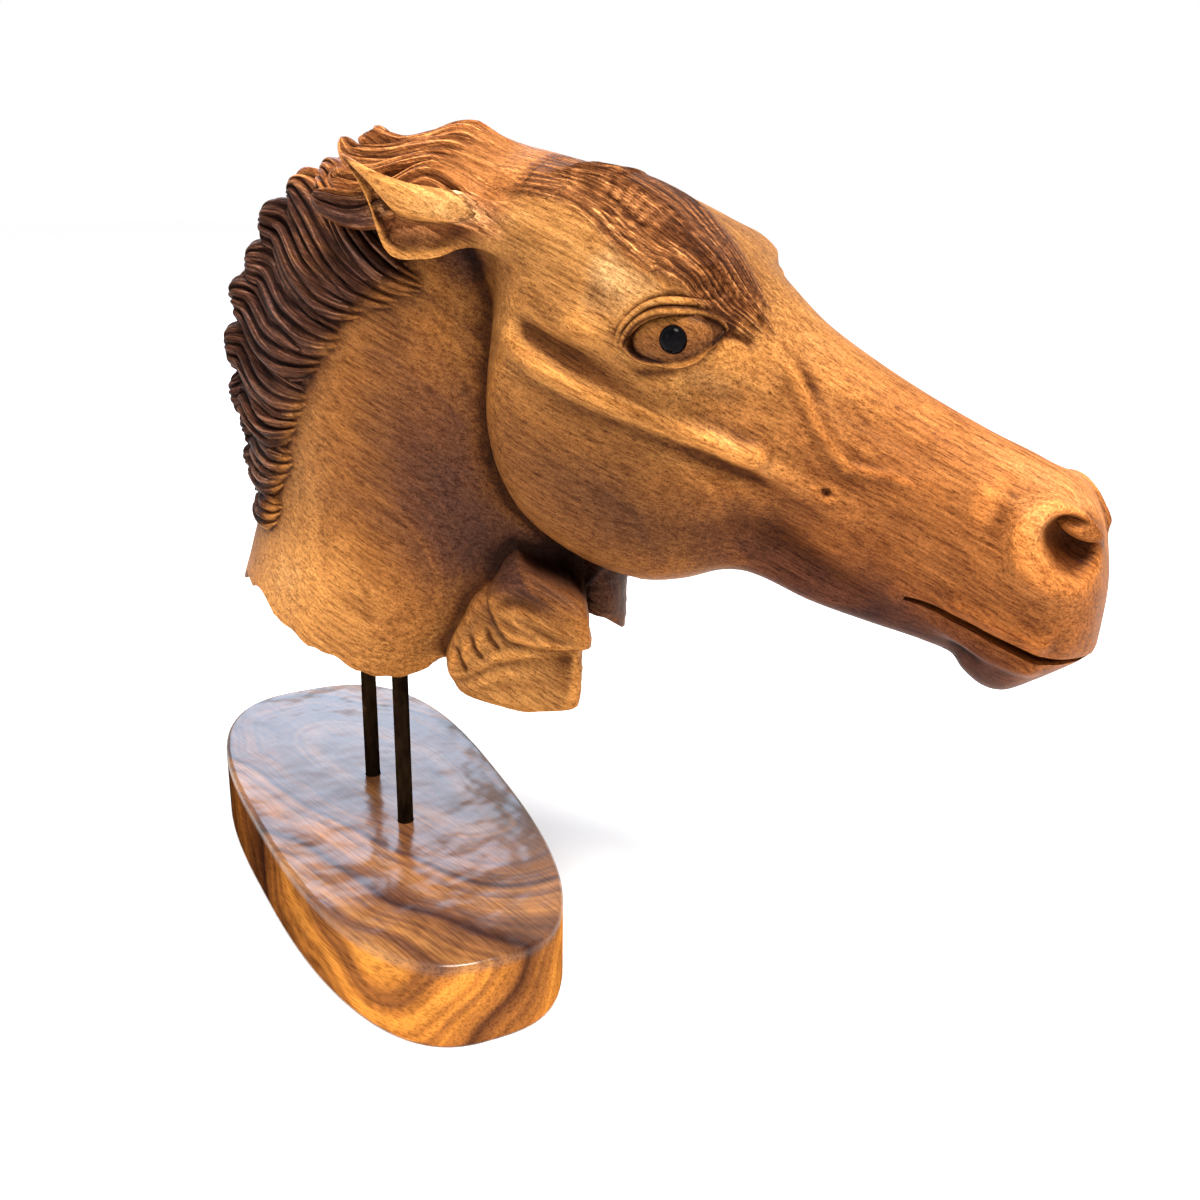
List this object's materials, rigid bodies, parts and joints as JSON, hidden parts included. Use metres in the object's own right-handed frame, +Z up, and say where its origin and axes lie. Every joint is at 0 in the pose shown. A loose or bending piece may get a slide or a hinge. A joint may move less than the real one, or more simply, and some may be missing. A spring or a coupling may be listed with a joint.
{
  "type": "wooden horse head sculpture",
  "caption": "Carved wooden horse head and neck with swept-back mane and ears, held on steel rods above an oval wooden base.",
  "frame": {"origin": "centre of the base's underside", "axes": "+Z up, +X the way the horse faces, +Y the horse's left"},
  "size_m": [0.4857, 0.2421, 0.3818],
  "materials": {
    "carved_wood": "oiled and softly polished carved hardwood",
    "base_wood": "glossy varnished hardwood with dark growth rings",
    "rod_steel": "dark brown oxidised steel bar",
    "eye_black": "polished black bead"
  },
  "bodies": {
    "root": {"horse_head": "carved_wood", "base": "base_wood", "rear_rod": "rod_steel", "front_rod": "rod_steel", "right_eye_bead": "eye_black", "left_eye_bead": "eye_black"}
  },
  "joints": []
}
